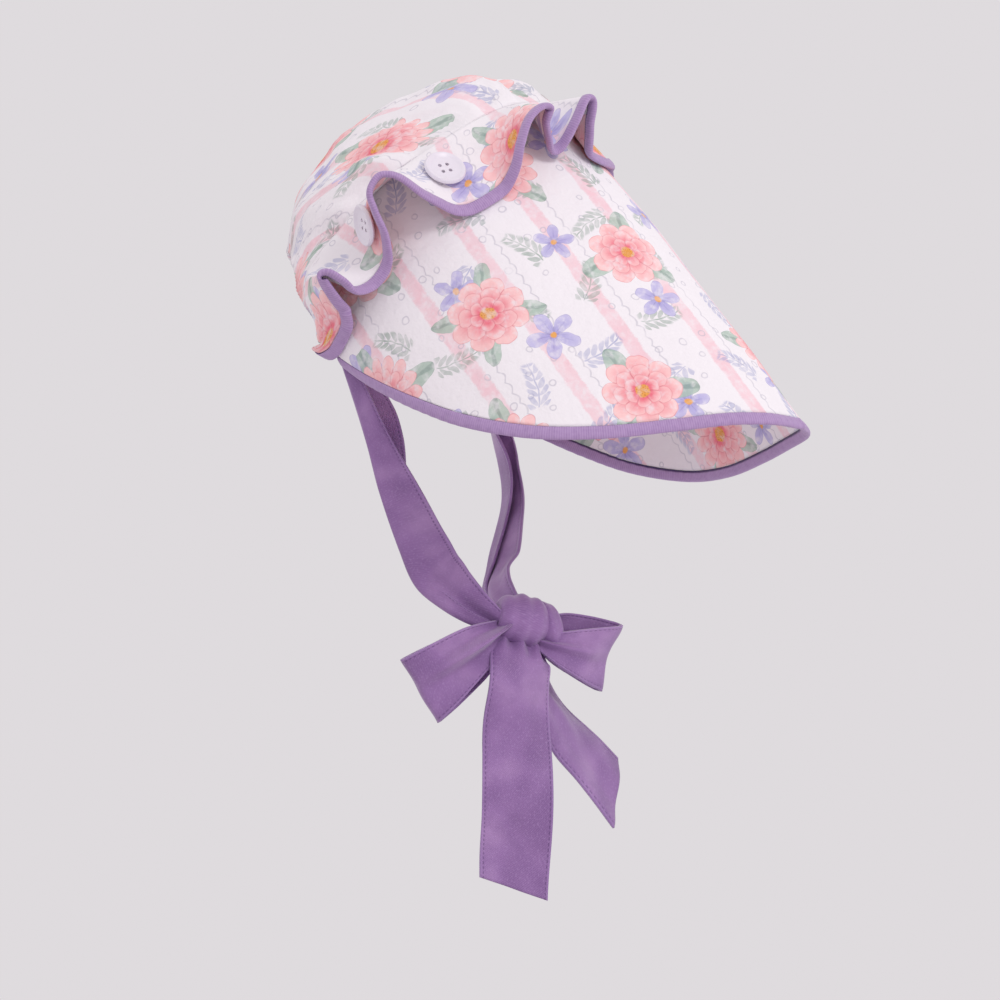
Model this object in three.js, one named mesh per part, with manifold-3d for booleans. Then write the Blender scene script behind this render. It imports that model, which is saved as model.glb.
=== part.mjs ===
// A baby's sun bonnet in soft printed cotton, in the form it has when worn.
// Millimetres, +Z up, the front towards -Y and the wearer's left towards +X.
// The cloth is worked out about the line through the two ear corners, and the whole is then moved so
// that the origin is the inside of the crown where it sits on the head.
import * as THREE from 'three';
import { mergeVertices } from 'three/addons/utils/BufferGeometryUtils.js';
import Module from 'manifold-3d';

// Driving sizes of the cap
const earHalfWidth = 58;
const crownReach = 119;
const crownHalfWidth = 65;
const crownWall = 1.5;
const hemAngle = 166;
const seatAngle = 82;
const earGather = 2;
const crownGathers = 9;
const gatherDepth = 1.1;

// Driving sizes of the frill, the peak and the tape bound over their edges
const frillWidth = 29.5;
const frillWall = 1.5;
const frillEase = 1;
const peakReach = 168;
const peakDrop = 42;
const peakWall = 2;
const peakSpring = 2;
const peakEndShare = 0.97;
const tapeWidth = 4.8;
const tapeThickness = 2.8;
const seamGap = 0.3;

// Driving sizes of the buttons
const buttonRadius = 8;
const buttonThickness = 2.4;
const buttonRim = 1.3;
const buttonHoleRadius = 0.9;
const buttonHolePitch = 3;

// Driving sizes of the chin ties and their bow
const tieWidth = 28;
const tieWall = 1.5;
const tieDrop = 100;
const tieForward = 50;
const bowTurn = 40;
const knotWidth = 23;
const knotHeight = 19;
const knotDepth = 15;
const loopLength = 48;
const loopDepth = 12;
const tailLength = 92;

// Numbers of steps along the cloth
const crownSteps = 54;
const crownRings = 10;
const stepsPerFold = 7;
const frillRows = 4;
const peakSteps = 44;
const peakRows = 5;
const tieSteps = 18;
const loopSteps = 22;
const tailSteps = 10;
const ribbonColumns = 4;
const buttonSides = 18;

// The cap's section in each plane through the ear line. The angle is from straight ahead over the top,
// the reach a share of crownReach and the width a share of crownHalfWidth.
const capSections = [
  { angle: 56, reach: 0.975, width: 0.955 },
  { angle: 62, reach: 1, width: 0.985 },
  { angle: 70, reach: 0.97, width: 1 },
  { angle: 82, reach: 0.91, width: 1 },
  { angle: 95, reach: 0.85, width: 0.99 },
  { angle: 108, reach: 0.765, width: 0.975 },
  { angle: 120, reach: 0.63, width: 0.955 },
  { angle: 133, reach: 0.49, width: 0.935 },
  { angle: 148, reach: 0.36, width: 0.92 },
  { angle: 166, reach: 0.26, width: 0.91 },
];

// The front seam's plane angle, from the top of the head, 0, to an ear corner, 1
const seamLine = [
  { at: 0, angle: 57.5 },
  { at: 0.2, angle: 58 },
  { at: 0.4, angle: 60 },
  { at: 0.5, angle: 62.5 },
  { at: 0.6, angle: 68 },
  { at: 0.72, angle: 80 },
  { at: 0.84, angle: 94 },
  { at: 0.93, angle: 101 },
  { at: 1, angle: 104 },
];

// The peak's outer edge, from its tip, 0, to an ear corner, 1. The side is a share of earHalfWidth, the
// forward place of peakReach and the fall of peakDrop.
const peakEdge = [
  { at: 0, side: 0, forward: 1, down: 0.81 },
  { at: 0.12, side: 0.31, forward: 0.97, down: 0.82 },
  { at: 0.2, side: 0.535, forward: 0.905, down: 0.85 },
  { at: 0.3, side: 0.76, forward: 0.81, down: 0.92 },
  { at: 0.42, side: 1.005, forward: 0.685, down: 0.99 },
  { at: 0.54, side: 1.19, forward: 0.55, down: 0.975 },
  { at: 0.66, side: 1.24, forward: 0.405, down: 0.85 },
  { at: 0.78, side: 1.205, forward: 0.27, down: 0.64 },
  { at: 0.88, side: 1.125, forward: 0.145, down: 0.4 },
  { at: 0.95, side: 1.06, forward: 0.06, down: 0.2 },
  { at: 1, side: 1.01, forward: 0.012, down: 0.03 },
];

// The frill's folds, from the right ear corner, -1, over the top, 0, to the left one, 1. The lift is
// the angle at which a fold stands off the peak, and the lean is its turn towards the right ear.
const frillFolds = [
  { at: -0.97, lift: 28, lean: 3 },
  { at: -0.77, lift: 48, lean: 15 },
  { at: -0.72, lift: 3, lean: 13 },
  { at: -0.644, lift: 62, lean: -16 },
  { at: -0.54, lift: 3, lean: -9 },
  { at: -0.215, lift: 51, lean: 23 },
  { at: -0.168, lift: 8, lean: 26 },
  { at: -0.079, lift: 46, lean: 26 },
  { at: -0.03, lift: 3, lean: 14 },
  { at: 0.12, lift: 6, lean: 4 },
  { at: 0.28, lift: 16, lean: -4 },
  { at: 0.42, lift: 4, lean: 0 },
  { at: 0.56, lift: 3, lean: 6 },
  { at: 0.65, lift: 52, lean: 8 },
  { at: 0.73, lift: 4, lean: -8 },
  { at: 0.83, lift: 42, lean: -10 },
  { at: 0.97, lift: 28, lean: -3 },
];

// The buttons that hold the frill's low folds, with their reach as a share of the frill's width
const buttonPlaces = [
  { name: 'button_1', at: -0.48, reach: 0.5 },
  { name: 'button_2', at: -0.705, reach: 0.42 },
  { name: 'button_3', at: 0.49, reach: 0.5 },
  { name: 'button_4', at: 0.735, reach: 0.42 },
];

// The chin ties, from an ear corner to the knot. The width is a share of tieWidth, and the turn is that
// of the tie's face from straight sideways towards the front.
const tieSections = [
  { at: 0, width: 0.62, turn: 5, curl: 170 },
  { at: 0.3, width: 0.66, turn: 15, curl: 150 },
  { at: 0.6, width: 0.72, turn: 30, curl: 120 },
  { at: 0.85, width: 0.66, turn: 45, curl: 110 },
  { at: 1, width: 0.4, turn: 50, curl: 100 },
];

// A bow loop, from the knot out along its front and back along its rear
const loopSections = [
  { out: 0.04, front: 0.2, width: 0.3, curl: 80 },
  { out: 0.2, front: 0.26, width: 0.36, curl: 70 },
  { out: 0.42, front: 0.46, width: 0.78, curl: 40 },
  { out: 0.7, front: 0.5, width: 0.94, curl: 20 },
  { out: 0.94, front: 0.3, width: 1, curl: 8 },
  { out: 1, front: 0, width: 1, curl: 0 },
  { out: 0.94, front: -0.3, width: 1, curl: -6 },
  { out: 0.7, front: -0.42, width: 0.9, curl: -16 },
  { out: 0.42, front: -0.38, width: 0.7, curl: -30 },
  { out: 0.2, front: -0.26, width: 0.4, curl: -50 },
  { out: 0.04, front: -0.16, width: 0.3, curl: -60 },
];

// A hanging end, from the knot down
const tailSections = [
  { down: 0.02, front: 0.42, width: 0.34, curl: 90 },
  { down: 0.1, front: 0.66, width: 0.5, curl: 60 },
  { down: 0.2, front: 0.74, width: 0.92, curl: 25 },
  { down: 0.6, front: 0.6, width: 0.97, curl: 10 },
  { down: 1, front: 0.4, width: 0.98, curl: 6 },
];

const finishes = {
  print: { color: 0xf3e9ee, roughness: 0.85, metalness: 0 },
  tape: { color: 0xa57dbe, roughness: 0.8, metalness: 0 },
  button: { color: 0xf4f0f6, roughness: 0.35, metalness: 0 },
};

const radians = THREE.MathUtils.degToRad;

// Reads a table at x, with a smooth curve through its rows
function readRows(rows, key, x) {
  const last = rows.length - 1;
  const inside = THREE.MathUtils.clamp(x, rows[0][key], rows[last][key]);
  let i = 0;
  while (i < last - 1 && inside > rows[i + 1][key]) {
    i += 1;
  }
  const span = rows[i + 1][key] - rows[i][key];
  const u = (inside - rows[i][key]) / span;
  const slope = (row, column) => {
    const before = rows[Math.max(row - 1, 0)];
    const after = rows[Math.min(row + 1, last)];
    return (after[column] - before[column]) / (after[key] - before[key]);
  };
  const result = {};
  for (const column of Object.keys(rows[i])) {
    const start = rows[i][column];
    const end = rows[i + 1][column];
    const startPart = (2 * u ** 3 - 3 * u ** 2 + 1) * start;
    const startSlope = (u ** 3 - 2 * u ** 2 + u) * span * slope(i, column);
    const endPart = (3 * u ** 2 - 2 * u ** 3) * end;
    const endSlope = (u ** 3 - u ** 2) * span * slope(i + 1, column);
    result[column] = startPart + startSlope + endPart + endSlope;
  }
  return result;
}

// The table's own rows, numbered from 0 to 1, for tables that turn back on themselves
function numbered(rows) {
  return rows.map((row, i) => ({ step: i / (rows.length - 1), ...row }));
}

// A point of the cap, in the plane at this angle. The place runs from the right ear, -1, to the left, 1.
function capPoint(at, angle, lift = 0) {
  const section = readRows(capSections, 'angle', angle);
  const halfWidth = section.width * crownHalfWidth;
  const earTurn = Math.PI - Math.asin(Math.min(earHalfWidth / halfWidth, 1));
  const rise = -Math.cos(earTurn);
  const turn = at * earTurn * 0.985;
  const height = crownReach * section.reach + lift;
  const out = (height * (Math.cos(turn) + rise)) / (1 + rise) + earGather;
  return new THREE.Vector3(
    (halfWidth + lift) * Math.sin(turn),
    -out * Math.cos(radians(angle)),
    out * Math.sin(radians(angle)),
  );
}

function seamAngle(at) {
  return readRows(seamLine, 'at', Math.abs(at)).angle;
}

function seamPoint(at) {
  return capPoint(at, seamAngle(at));
}

// The crown's cloth swells between its gathers, most at the front seam and at the hem
function crownPoint(at, back) {
  const front = seamAngle(at);
  const swell = gatherDepth * (1 - 0.75 * Math.sin(Math.PI * back)) * (1 - Math.abs(at) ** 6);
  const ripple = swell * (0.5 + 0.5 * Math.cos(2 * Math.PI * crownGathers * at));
  return capPoint(at, THREE.MathUtils.lerp(front, hemAngle, back), ripple);
}

function peakEdgePoint(at) {
  const row = readRows(peakEdge, 'at', Math.abs(at));
  const side = Math.sign(at) * row.side * earHalfWidth;
  return new THREE.Vector3(side, -row.forward * peakReach, -row.down * peakDrop);
}

// Directions at the seam: along it to the left, forward down the peak, and out off the peak
function seamFrame(at) {
  const small = 0.001;
  const origin = seamPoint(at);
  const ahead = seamPoint(Math.min(at + small, 1));
  const behind = seamPoint(Math.max(at - small, -1));
  const along = ahead.sub(behind).normalize();
  const forward = peakEdgePoint(at).sub(origin).normalize();
  const out = new THREE.Vector3().crossVectors(forward, along).normalize();
  forward.crossVectors(along, out).normalize();
  return { origin, along, forward, out };
}

// A point on the peak's upper face. The reach runs from the seam, 0, to the outer edge, 1.
function peakPoint(at, reach) {
  const frame = seamFrame(at);
  const edge = peakEdgePoint(at);
  const point = frame.origin.clone().lerp(edge, reach);
  return point.addScaledVector(frame.out, peakSpring * 4 * reach * (1 - reach));
}

// The frill's fold at a place, between its table's rows
function foldAt(at) {
  let i = 0;
  while (i < frillFolds.length - 2 && at > frillFolds[i + 1].at) {
    i += 1;
  }
  const start = frillFolds[i];
  const end = frillFolds[i + 1];
  const u = (at - start.at) / (end.at - start.at);
  const smooth = THREE.MathUtils.smoothstep(u, 0, 1);
  return {
    lift: THREE.MathUtils.lerp(start.lift, end.lift, smooth),
    lean: THREE.MathUtils.lerp(start.lean, end.lean, smooth),
  };
}

// A point on the frill's upper face, at a distance from the seam
function frillPoint(at, distance) {
  const frame = seamFrame(at);
  const fold = foldAt(at);
  const lift = radians(fold.lift);
  const lean = radians(fold.lean);
  const reach = Math.min(distance / frame.origin.distanceTo(peakEdgePoint(at)), 1);
  const spring = peakSpring * 4 * reach * (1 - reach);
  const clear = seamGap * 2 + frillWall + spring + frillEase * (distance / frillWidth);
  return frame.origin
    .clone()
    .addScaledVector(frame.out, clear)
    .addScaledVector(frame.forward, seamGap + distance * Math.cos(lift) * Math.cos(lean))
    .addScaledVector(frame.out, distance * Math.sin(lift) * Math.cos(lean))
    .addScaledVector(frame.along, -distance * Math.sin(lean));
}

// A closed mesh from rows of points, as flat vertex and triangle lists
function meshGeometry(points, triangles) {
  const geometry = new THREE.BufferGeometry();
  const positions = new Float32Array(points.length * 3);
  points.forEach((point, i) => point.toArray(positions, i * 3));
  geometry.setAttribute('position', new THREE.BufferAttribute(positions, 3));
  geometry.setIndex(triangles);
  return turnedOut(geometry);
}

// Turns a closed mesh's faces round if they point inwards
function turnedOut(geometry) {
  const position = geometry.attributes.position;
  const index = geometry.index.array;
  const corners = [new THREE.Vector3(), new THREE.Vector3(), new THREE.Vector3()];
  let volume = 0;
  for (let i = 0; i < index.length; i += 3) {
    corners.forEach((corner, k) => corner.fromBufferAttribute(position, index[i + k]));
    volume += corners[0].dot(corners[1].clone().cross(corners[2])) / 6;
  }
  if (volume < 0) {
    for (let i = 0; i < index.length; i += 3) {
      [index[i + 1], index[i + 2]] = [index[i + 2], index[i + 1]];
    }
  }
  return geometry;
}

// The direction square to a grid of points, at each of them
function gridNormals(grid) {
  const lastRow = grid.length - 1;
  const lastColumn = grid[0].length - 1;
  return grid.map((row, i) =>
    row.map((point, j) => {
      const before = grid[Math.max(i - 1, 0)][j];
      const after = grid[Math.min(i + 1, lastRow)][j];
      const left = grid[i][Math.max(j - 1, 0)];
      const right = grid[i][Math.min(j + 1, lastColumn)];
      const lengthwise = after.clone().sub(before);
      const across = right.clone().sub(left);
      return lengthwise.cross(across).normalize();
    }),
  );
}

// Cloth from a grid of points on one face, with its wall laid to the side that the sign gives
function clothGeometry(grid, wall, side) {
  const normals = gridNormals(grid);
  const rows = grid.length;
  const columns = grid[0].length;
  const inner = grid.map((row, i) =>
    row.map((point, j) => point.clone().addScaledVector(normals[i][j], side * wall)),
  );
  const points = [...grid.flat(), ...inner.flat()];
  const face = rows * columns;
  const triangles = [];
  const quad = (a, b, c, d) => triangles.push(a, b, c, a, c, d);
  for (let i = 0; i < rows - 1; i += 1) {
    for (let j = 0; j < columns - 1; j += 1) {
      const a = i * columns + j;
      quad(a, a + columns, a + columns + 1, a + 1);
      quad(face + a, face + a + 1, face + a + columns + 1, face + a + columns);
    }
  }
  for (let i = 0; i < rows - 1; i += 1) {
    const a = i * columns;
    const b = a + columns - 1;
    quad(a, face + a, face + a + columns, a + columns);
    quad(b, b + columns, face + b + columns, face + b);
  }
  for (let j = 0; j < columns - 1; j += 1) {
    const a = j;
    const b = (rows - 1) * columns + j;
    quad(a, a + 1, face + a + 1, face + a);
    quad(b, face + b, face + b + 1, b + 1);
  }
  return meshGeometry(points, triangles);
}

// A strip with the same closed ring of points at each station, capped at both ends
function ringGeometry(rings) {
  const count = rings[0].length;
  const points = rings.flat();
  const triangles = [];
  for (let i = 0; i < rings.length - 1; i += 1) {
    for (let j = 0; j < count; j += 1) {
      const a = i * count + j;
      const b = i * count + ((j + 1) % count);
      triangles.push(a, b, b + count, a, b + count, a + count);
    }
  }
  const end = (rings.length - 1) * count;
  for (let j = 1; j < count - 1; j += 1) {
    triangles.push(0, j + 1, j, end, end + j, end + j + 1);
  }
  return meshGeometry(points, triangles);
}

// Tape folded over a cloth edge. Each station has the cloth's edge, the way on past it, and its face.
function tapeGeometry(stations) {
  const half = tapeThickness / 2;
  const outline = [
    { on: seamGap, off: -half },
    { on: tapeWidth * 0.8, off: -half },
    { on: tapeWidth, off: -half * 0.35 },
    { on: tapeWidth, off: half * 0.35 },
    { on: tapeWidth * 0.8, off: half },
    { on: seamGap, off: half },
  ];
  return ringGeometry(
    stations.map(({ edge, on, face }) =>
      outline.map((corner) =>
        edge.clone().addScaledVector(on, corner.on).addScaledVector(face, corner.off),
      ),
    ),
  );
}

// The middle of the wall at the far edge of a cloth grid, with the ways on past it and off its face
function edgeStations(grid, wall, side) {
  const normals = gridNormals(grid);
  const last = grid[0].length - 1;
  return grid.map((row, i) => {
    const face = normals[i][last].clone().multiplyScalar(side);
    const edge = row[last].clone().addScaledVector(face, wall / 2);
    const lengthwise = grid[Math.min(i + 1, grid.length - 1)][last]
      .clone()
      .sub(grid[Math.max(i - 1, 0)][last])
      .normalize();
    const on = row[last].clone().sub(row[last - 1]);
    on.addScaledVector(lengthwise, -on.dot(lengthwise)).normalize();
    face.crossVectors(lengthwise, on).normalize();
    return { edge, on, face };
  });
}

// A ribbon through stations, each with its middle, the way across, its face, width and curl in degrees
function ribbonGeometry(stations) {
  const grid = stations.map(({ middle, across, face, width, curl }) => {
    const halfCurl = radians(curl) / 2;
    const row = [];
    for (let j = 0; j <= ribbonColumns; j += 1) {
      const q = (2 * j) / ribbonColumns - 1;
      const bend = Math.abs(halfCurl) < 0.02 ? 0 : halfCurl;
      const sideways = bend === 0 ? q : Math.sin(q * bend) / Math.sin(Math.abs(bend)) * Math.sign(bend);
      const depth = bend === 0 ? 0 : (1 - Math.cos(q * bend)) / Math.sin(Math.abs(bend)) * Math.sign(bend);
      row.push(
        middle
          .clone()
          .addScaledVector(across, (sideways * width) / 2)
          .addScaledVector(face, (-depth * width) / 2),
      );
    }
    return row;
  });
  return clothGeometry(grid, tieWall, 1);
}

function evenly(count, from, to) {
  return Array.from({ length: count + 1 }, (_, i) => THREE.MathUtils.lerp(from, to, i / count));
}

// The crown: the cap's cloth from the front seam back to the hem at the nape
function makeCrown() {
  const start = 0.004;
  const grid = evenly(crownSteps, -1, 1).map((at) =>
    evenly(crownRings, 0, 1).map((back) => crownPoint(at, start + (1 - start) * back)),
  );
  const inwards = sideTowards(grid, new THREE.Vector3(0, 0, crownReach / 3));
  return clothGeometry(grid, crownWall, inwards);
}

// The sign that lays a wall from a grid towards a point
function sideTowards(grid, target) {
  const normals = gridNormals(grid);
  const i = Math.floor(grid.length / 2);
  const j = Math.floor(grid[0].length / 2);
  return Math.sign(target.clone().sub(grid[i][j]).dot(normals[i][j]));
}

// The places along the frill, the same number for each fold
function frillPlaces() {
  const places = [frillFolds[0].at];
  for (let i = 0; i < frillFolds.length - 1; i += 1) {
    places.push(...evenly(stepsPerFold, frillFolds[i].at, frillFolds[i + 1].at).slice(1));
  }
  return places;
}

function frillGrid() {
  return frillPlaces().map((at) =>
    evenly(frillRows, 0, frillWidth).map((distance) => frillPoint(at, distance)),
  );
}

function makeFrill() {
  const grid = frillGrid();
  return clothGeometry(grid, frillWall, frillSide(grid));
}

// The frill's wall lies below its upper face, towards the peak
function frillSide(grid) {
  const i = Math.floor(grid.length / 2);
  const out = seamFrame(frillPlaces()[i]).out;
  return -Math.sign(gridNormals(grid)[i][0].dot(out));
}

function makeFrillTape() {
  const grid = frillGrid();
  return tapeGeometry(edgeStations(grid, frillWall, frillSide(grid)));
}

// The peak's cloth stops where its edge tape starts
function peakGrid() {
  return evenly(peakSteps, -peakEndShare, peakEndShare).map((at) => {
    const length = peakEdgePoint(at).distanceTo(seamPoint(at));
    const start = seamGap / length;
    const end = Math.max(1 - tapeWidth / length, 2 * start);
    return evenly(peakRows, start, end).map((reach) => peakPoint(at, reach));
  });
}

function peakSide(grid) {
  const i = Math.floor(grid.length / 2);
  return -Math.sign(gridNormals(grid)[i][1].dot(seamFrame(0).out));
}

function makePeak() {
  const grid = peakGrid();
  return clothGeometry(grid, peakWall, peakSide(grid));
}

function makePeakTape() {
  const grid = peakGrid();
  return tapeGeometry(edgeStations(grid, peakWall, peakSide(grid)));
}

const wasm = await Module();
wasm.setup();

// A closed mesh as a solid that can be joined and cut
function solidOf(geometry) {
  const bare = geometry.clone();
  bare.deleteAttribute('normal');
  bare.deleteAttribute('uv');
  const merged = mergeVertices(bare, 0.0001);
  const mesh = new wasm.Mesh({
    numProp: 3,
    vertProperties: new Float32Array(merged.attributes.position.array),
    triVerts: new Uint32Array(merged.index.array),
  });
  return new wasm.Manifold(mesh);
}

function geometryOf(solid) {
  const { vertProperties, triVerts } = solid.getMesh();
  const geometry = new THREE.BufferGeometry();
  geometry.setAttribute('position', new THREE.BufferAttribute(vertProperties, 3));
  geometry.setIndex(new THREE.BufferAttribute(triVerts, 1));
  return geometry;
}

// A button with a raised rim, a dished middle and four holes, its back at the origin facing -Z
function makeButton() {
  const dish = buttonThickness * 0.62;
  const profile = [
    new THREE.Vector2(0, 0),
    new THREE.Vector2(buttonRadius * 0.8, 0),
    new THREE.Vector2(buttonRadius, buttonThickness * 0.5),
    new THREE.Vector2(buttonRadius - buttonRim * 0.4, buttonThickness),
    new THREE.Vector2(buttonRadius - buttonRim, buttonThickness),
    new THREE.Vector2(buttonRadius - buttonRim * 1.9, dish),
    new THREE.Vector2(0, dish),
  ];
  const body = new THREE.LatheGeometry(profile, buttonSides);
  body.rotateX(Math.PI / 2);
  let solid = solidOf(turnedOut(mergedOnly(body)));
  for (const x of [-1, 1]) {
    for (const y of [-1, 1]) {
      const hole = new THREE.CylinderGeometry(buttonHoleRadius, buttonHoleRadius, buttonThickness * 3, 6);
      hole.rotateX(Math.PI / 2);
      hole.translate((x * buttonHolePitch) / 2, (y * buttonHolePitch) / 2, 0);
      solid = solid.subtract(solidOf(hole));
    }
  }
  return geometryOf(solid);
}

function mergedOnly(geometry) {
  geometry.deleteAttribute('normal');
  geometry.deleteAttribute('uv');
  return mergeVertices(geometry, 0.0001);
}

// A button on the frill, square to the cloth below its middle
function placeButton(mesh, { at, reach }) {
  const distance = reach * frillWidth;
  const step = 0.01;
  const middle = frillPoint(at, distance);
  const along = frillPoint(at + step, distance).sub(frillPoint(at - step, distance)).normalize();
  const on = frillPoint(at, distance + 1).sub(middle).normalize();
  const out = new THREE.Vector3().crossVectors(on, along).normalize();
  on.crossVectors(along, out);
  const basis = new THREE.Matrix4().makeBasis(on, along, out);
  const clear = seamGap + buttonSink(at, distance, middle, out);
  mesh.position.copy(middle).addScaledVector(out, clear);
  mesh.quaternion.setFromRotationMatrix(basis);
}

// How far the cloth around a button stands proud of the cloth below its middle
function buttonSink(at, distance, middle, out) {
  const span = 0.14;
  let proud = 0;
  for (const place of evenly(28, at - span, at + span)) {
    for (const far of evenly(8, distance - buttonRadius, distance + buttonRadius)) {
      const away = frillPoint(place, far).sub(middle);
      const height = away.dot(out);
      const aside = away.addScaledVector(out, -height).length();
      if (aside < buttonRadius) {
        proud = Math.max(proud, height);
      }
    }
  }
  return proud;
}

// The bow's frame: across it to the wearer's left, up, and towards its front
const bowAcross = new THREE.Vector3(Math.cos(radians(bowTurn)), -Math.sin(radians(bowTurn)), 0);
const bowFront = new THREE.Vector3(-Math.sin(radians(bowTurn)), -Math.cos(radians(bowTurn)), 0);
const bowUp = new THREE.Vector3(0, 0, 1);
const knotMiddle = new THREE.Vector3(0, -tieForward, -tieDrop);

function bowPoint(across, up, front) {
  return knotMiddle
    .clone()
    .addScaledVector(bowAcross, across)
    .addScaledVector(bowUp, up)
    .addScaledVector(bowFront, front);
}

// The knot, a soft round lump, with a clearance added all round for cutting what ends in it
function knotGeometry(clearance) {
  const lump = new THREE.SphereGeometry(1, 14, 10);
  lump.scale(knotWidth / 2 + clearance, knotDepth / 2 + clearance, knotHeight / 2 + clearance);
  lump.rotateZ(-radians(bowTurn));
  lump.translate(knotMiddle.x, knotMiddle.y, knotMiddle.z);
  return turnedOut(mergedOnly(lump));
}

function cutByKnot(geometry) {
  return geometryOf(solidOf(geometry).subtract(solidOf(knotGeometry(seamGap))));
}

// A chin tie from an ear corner down round the jaw to the knot. The side is -1 for the right one.
function makeTie(side) {
  const start = new THREE.Vector3(side * earHalfWidth, tieForward * 0.02, -tieDrop * 0.035);
  const bend = new THREE.Vector3(side * earHalfWidth * 0.9, -tieForward * 0.32, -tieDrop * 0.72);
  const end = bowPoint(side * knotWidth * 0.22, knotHeight * 0.28, -knotDepth * 0.25);
  const curve = new THREE.QuadraticBezierCurve3(start, bend, end);
  const stations = evenly(tieSteps, 0, 1).map((u) => {
    const row = readRows(tieSections, 'at', u);
    const along = curve.getTangent(u);
    const turn = radians(row.turn);
    const face = new THREE.Vector3(side * Math.cos(turn), -Math.sin(turn), 0);
    face.addScaledVector(along, -face.dot(along)).normalize();
    const across = new THREE.Vector3().crossVectors(along, face).normalize();
    const width = row.width * tieWidth;
    return { middle: curve.getPoint(u), across, face, width, curl: row.curl };
  });
  return cutByKnot(ribbonGeometry(stations));
}

// A bow loop. The side is -1 for the right one, and the droop is its angle below level.
function makeLoop(side, droop, lengthShare) {
  const rows = numbered(loopSections);
  const out = new THREE.Vector3()
    .addScaledVector(bowAcross, side * Math.cos(radians(droop)))
    .addScaledVector(bowUp, -Math.sin(radians(droop)));
  const across = new THREE.Vector3().crossVectors(bowFront, out).normalize();
  const middleAt = (step) => {
    const row = readRows(rows, 'step', step);
    return bowPoint(0, -knotHeight * 0.1, 0)
      .addScaledVector(out, row.out * loopLength * lengthShare)
      .addScaledVector(bowFront, row.front * loopDepth);
  };
  const small = 0.005;
  const stations = evenly(loopSteps, 0, 1).map((step) => {
    const row = readRows(rows, 'step', step);
    const along = middleAt(Math.min(step + small, 1)).sub(middleAt(Math.max(step - small, 0)));
    const face = new THREE.Vector3().crossVectors(along.normalize(), across).normalize();
    return { middle: middleAt(step), across, face, width: row.width * tieWidth, curl: row.curl };
  });
  return cutByKnot(ribbonGeometry(stations));
}

// A hanging end of the ties. The swing is its angle from straight down towards the wearer's left, the
// turn its face's turn from the bow's front, and the slant the fall of its cut end across its width.
function makeTail({ swing, turn, slant, length, front }) {
  const down = new THREE.Vector3()
    .addScaledVector(bowUp, -Math.cos(radians(swing)))
    .addScaledVector(bowAcross, Math.sin(radians(swing)));
  const face = bowFront.clone().applyAxisAngle(down, radians(turn));
  const across = new THREE.Vector3().crossVectors(face, down).normalize();
  const stations = evenly(tailSteps, 0, 1).map((u) => {
    const row = readRows(tailSections, 'down', THREE.MathUtils.lerp(0.02, 1, u));
    const middle = bowPoint(0, 0, row.front * front)
      .addScaledVector(down, row.down * tailLength * length);
    const tilt = down.clone().multiplyScalar(slant * row.down ** 6);
    const slope = across.clone().add(tilt);
    return { middle, across: slope, face, width: row.width * tieWidth, curl: row.curl };
  });
  return cutByKnot(ribbonGeometry(stations));
}

const hat = new THREE.Group();
const pieces = new THREE.Group();
hat.add(pieces);

function addPiece(name, geometry, finish) {
  const mesh = new THREE.Mesh(geometry, new THREE.MeshStandardMaterial(finishes[finish]));
  mesh.name = name;
  pieces.add(mesh);
  return mesh;
}

addPiece('crown', makeCrown(), 'print');
addPiece('ruffle', makeFrill(), 'print');
addPiece('ruffle_binding', makeFrillTape(), 'tape');
addPiece('peak', makePeak(), 'print');
addPiece('peak_binding', makePeakTape(), 'tape');
for (const place of buttonPlaces) {
  placeButton(addPiece(place.name, makeButton(), 'button'), place);
}
addPiece('tie_right', makeTie(-1), 'tape');
addPiece('tie_left', makeTie(1), 'tape');
addPiece('bow_knot', knotGeometry(0), 'tape');
addPiece('bow_loop_right', makeLoop(-1, 33, 1), 'tape');
addPiece('bow_loop_left', makeLoop(1, 14, 0.88), 'tape');
const rightEnd = { swing: -2, turn: 0, slant: 0.18, length: 1.08, front: knotDepth };
const leftEnd = { swing: 40, turn: -25, slant: 0.3, length: 0.9, front: -1.07 * knotDepth };
addPiece('tie_end_right', makeTail(rightEnd), 'tape');
addPiece('tie_end_left', makeTail(leftEnd), 'tape');

// The origin is the inside of the crown where it sits on the head
const seat = capPoint(0, seatAngle, -crownWall);
pieces.position.set(0, -seat.y, -seat.z);

export default hat;
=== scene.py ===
import math
import bmesh
import bpy
from mathutils import Matrix, Quaternion, Vector, noise


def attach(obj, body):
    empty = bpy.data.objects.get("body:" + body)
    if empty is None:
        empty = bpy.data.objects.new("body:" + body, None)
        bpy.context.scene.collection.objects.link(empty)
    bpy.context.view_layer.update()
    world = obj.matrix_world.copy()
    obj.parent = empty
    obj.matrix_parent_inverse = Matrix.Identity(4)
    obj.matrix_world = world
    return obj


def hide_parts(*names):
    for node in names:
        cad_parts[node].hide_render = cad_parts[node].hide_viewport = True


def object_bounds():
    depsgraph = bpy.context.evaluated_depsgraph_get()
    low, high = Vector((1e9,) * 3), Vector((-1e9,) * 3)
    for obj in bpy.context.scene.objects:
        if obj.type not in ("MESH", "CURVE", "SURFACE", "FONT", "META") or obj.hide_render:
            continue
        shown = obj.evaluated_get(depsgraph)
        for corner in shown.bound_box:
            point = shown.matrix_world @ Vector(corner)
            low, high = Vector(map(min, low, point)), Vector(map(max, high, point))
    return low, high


# A baby's sun bonnet: gathered printed crown, buttoned ruffle, stiff peak and ties in a bow.
# The cloth is worked out in millimetres about the line through the two ear corners.
print("loading the frame")
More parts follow.
